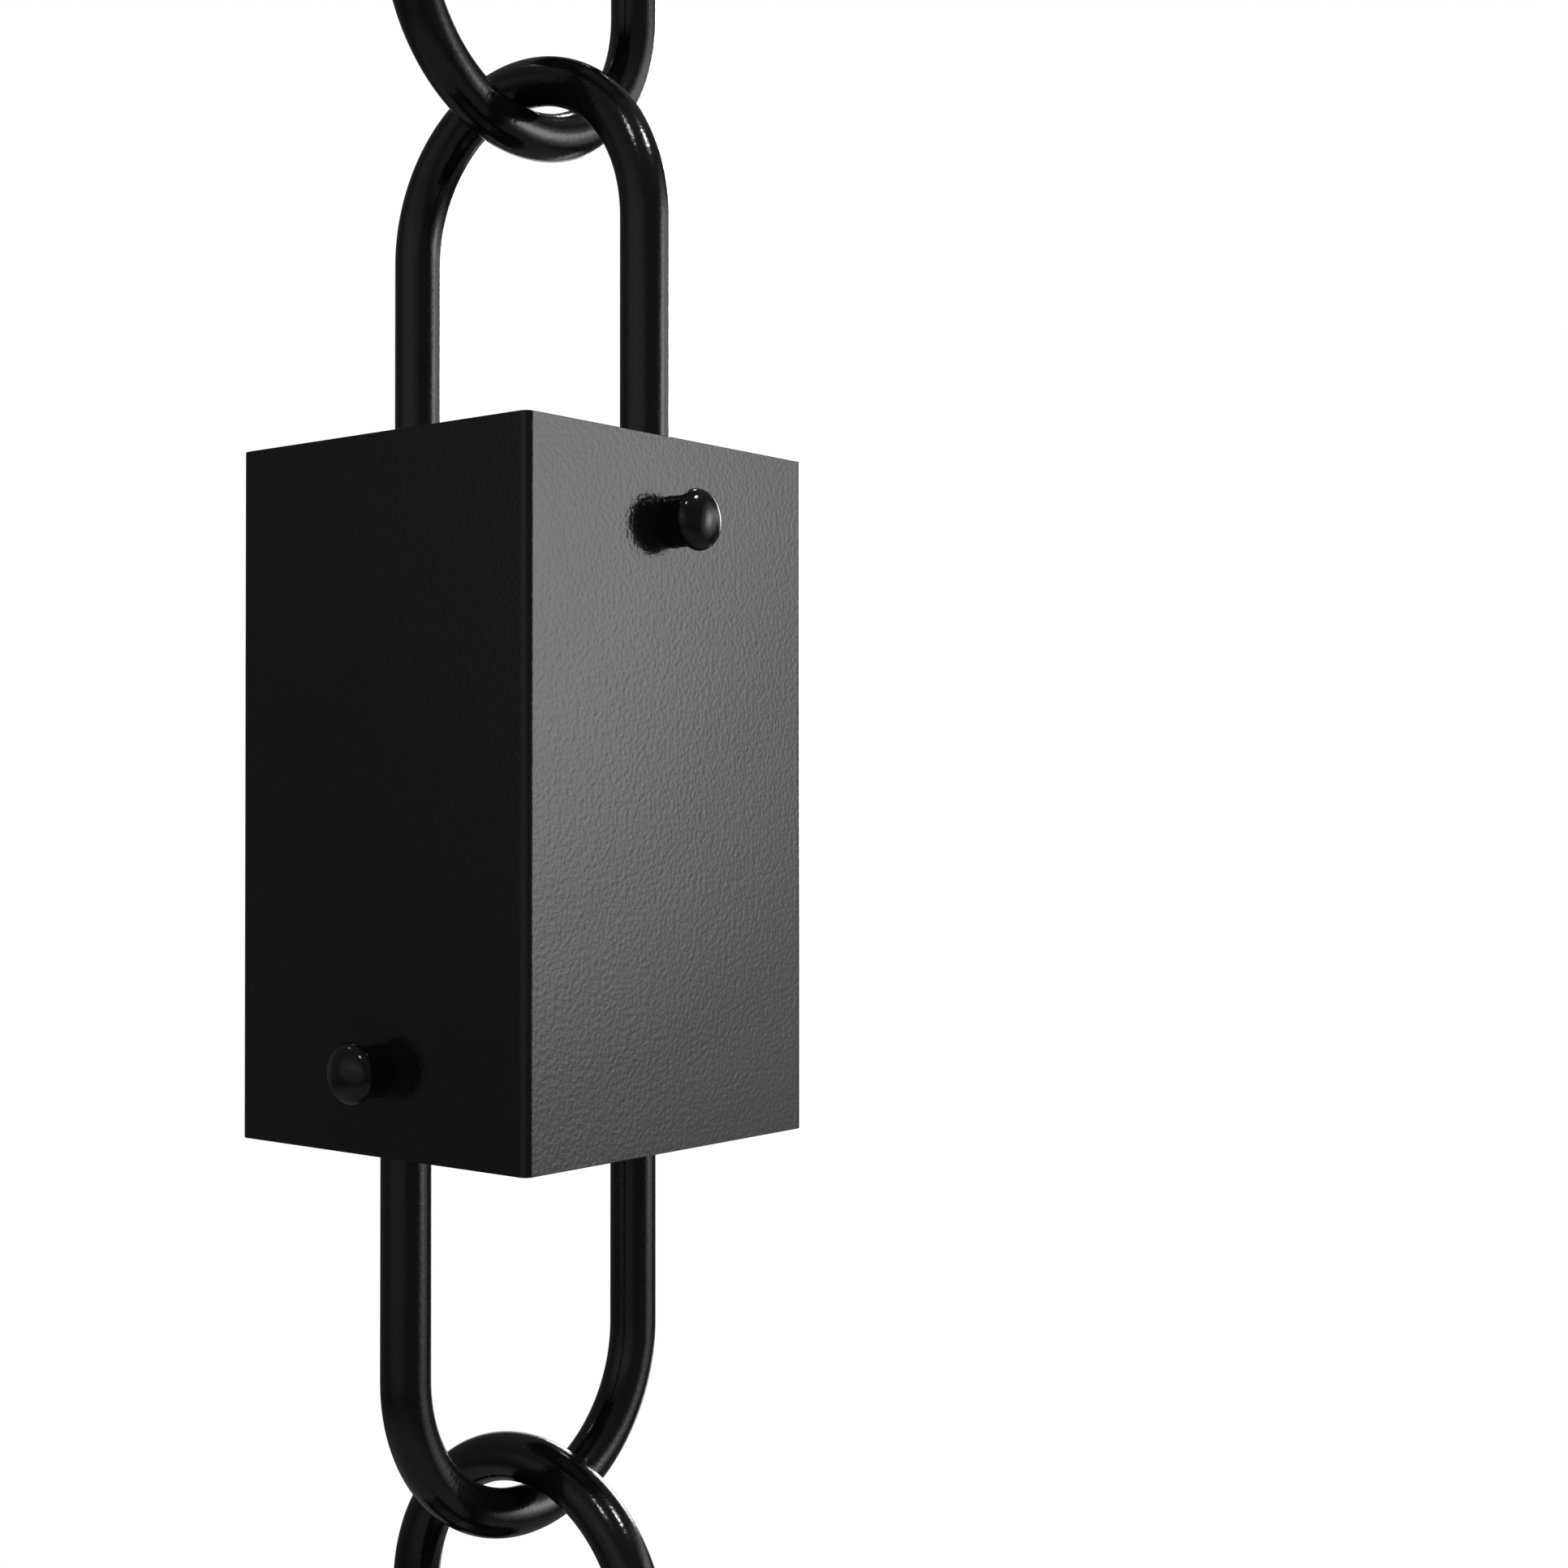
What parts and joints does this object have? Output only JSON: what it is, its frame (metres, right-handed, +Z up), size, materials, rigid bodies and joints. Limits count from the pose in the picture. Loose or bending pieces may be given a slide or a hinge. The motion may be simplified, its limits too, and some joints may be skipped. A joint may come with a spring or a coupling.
{
  "type": "rain chain",
  "caption": "Rain chain of open square cups in black powder-coated metal, hung one below the next on pinned U-shaped rod bails that hook into each other.",
  "frame": {"origin": "hanging point: inside crown of the first bail's bend, on the chain's axis", "axes": "+Z up along the hanging chain, +X along the upper pins, +Y along the lower pins"},
  "size_m": [0.0618, 0.0618, 0.8875],
  "materials": {
    "cup_coat": "satin",
    "bail_coat": "satin",
    "pin_coat": "gloss"
  },
  "bodies": {
    "upper_bail_1": {"upper_bail_1": "bail_coat", "upper_pin_right_1": "pin_coat", "upper_pin_left_1": "pin_coat"},
    "cup_1": {"cup_1": "cup_coat"},
    "lower_bail_1": {"lower_bail_1": "bail_coat", "lower_pin_front_1": "pin_coat", "lower_pin_back_1": "pin_coat"},
    "upper_bail_2": {"upper_bail_2": "bail_coat", "upper_pin_right_2": "pin_coat", "upper_pin_left_2": "pin_coat"},
    "cup_2": {"cup_2": "cup_coat"},
    "lower_bail_2": {"lower_bail_2": "bail_coat", "lower_pin_front_2": "pin_coat", "lower_pin_back_2": "pin_coat"},
    "upper_bail_3": {"upper_bail_3": "bail_coat", "upper_pin_right_3": "pin_coat", "upper_pin_left_3": "pin_coat"},
    "cup_3": {"cup_3": "cup_coat"},
    "lower_bail_3": {"lower_bail_3": "bail_coat", "lower_pin_front_3": "pin_coat", "lower_pin_back_3": "pin_coat"},
    "upper_bail_4": {"upper_bail_4": "bail_coat", "upper_pin_right_4": "pin_coat", "upper_pin_left_4": "pin_coat"},
    "cup_4": {"cup_4": "cup_coat"},
    "lower_bail_4": {"lower_bail_4": "bail_coat", "lower_pin_front_4": "pin_coat", "lower_pin_back_4": "pin_coat"},
    "upper_bail_5": {"upper_bail_5": "bail_coat", "upper_pin_right_5": "pin_coat", "upper_pin_left_5": "pin_coat"},
    "cup_5": {"cup_5": "cup_coat"},
    "lower_bail_5": {"lower_bail_5": "bail_coat", "lower_pin_front_5": "pin_coat", "lower_pin_back_5": "pin_coat"}
  },
  "joints": [
    {"name": "cup_1_swing", "type": "hinge", "parent": "upper_bail_1", "child": "cup_1", "pos_m": [0, 0, -0.05485], "axis": [-1, 0, 0], "range_deg": [-58, 58]},
    {"name": "lower_bail_1_swing", "type": "hinge", "parent": "cup_1", "child": "lower_bail_1", "pos_m": [0, 0, -0.12045], "axis": [0, 1, 0], "range_deg": [-58, 58]},
    {"name": "hook_1", "type": "hinge", "parent": "lower_bail_1", "child": "upper_bail_2", "pos_m": [0, 0, -0.17195], "axis": [-1, 0, 0], "range_deg": [-90, 90]},
    {"name": "cup_2_swing", "type": "hinge", "parent": "upper_bail_2", "child": "cup_2", "pos_m": [0, 0, -0.22985], "axis": [1, 0, 0], "range_deg": [-58, 58]},
    {"name": "lower_bail_2_swing", "type": "hinge", "parent": "cup_2", "child": "lower_bail_2", "pos_m": [0, 0, -0.29545], "axis": [0, -1, 0], "range_deg": [-58, 58]},
    {"name": "hook_2", "type": "hinge", "parent": "lower_bail_2", "child": "upper_bail_3", "pos_m": [0, 0, -0.34695], "axis": [1, 0, 0], "range_deg": [-90, 90]},
    {"name": "cup_3_swing", "type": "hinge", "parent": "upper_bail_3", "child": "cup_3", "pos_m": [0, 0, -0.40485], "axis": [-1, 0, 0], "range_deg": [-58, 58]},
    {"name": "lower_bail_3_swing", "type": "hinge", "parent": "cup_3", "child": "lower_bail_3", "pos_m": [0, 0, -0.47045], "axis": [0, 1, 0], "range_deg": [-58, 58]},
    {"name": "hook_3", "type": "hinge", "parent": "lower_bail_3", "child": "upper_bail_4", "pos_m": [0, 0, -0.52195], "axis": [-1, 0, 0], "range_deg": [-90, 90]},
    {"name": "cup_4_swing", "type": "hinge", "parent": "upper_bail_4", "child": "cup_4", "pos_m": [0, 0, -0.57985], "axis": [1, 0, 0], "range_deg": [-58, 58]},
    {"name": "lower_bail_4_swing", "type": "hinge", "parent": "cup_4", "child": "lower_bail_4", "pos_m": [0, 0, -0.64545], "axis": [0, -1, 0], "range_deg": [-58, 58]},
    {"name": "hook_4", "type": "hinge", "parent": "lower_bail_4", "child": "upper_bail_5", "pos_m": [0, 0, -0.69695], "axis": [1, 0, 0], "range_deg": [-90, 90]},
    {"name": "cup_5_swing", "type": "hinge", "parent": "upper_bail_5", "child": "cup_5", "pos_m": [0, 0, -0.75485], "axis": [-1, 0, 0], "range_deg": [-58, 58]},
    {"name": "lower_bail_5_swing", "type": "hinge", "parent": "cup_5", "child": "lower_bail_5", "pos_m": [0, 0, -0.82045], "axis": [0, 1, 0], "range_deg": [-58, 58]}
  ]
}
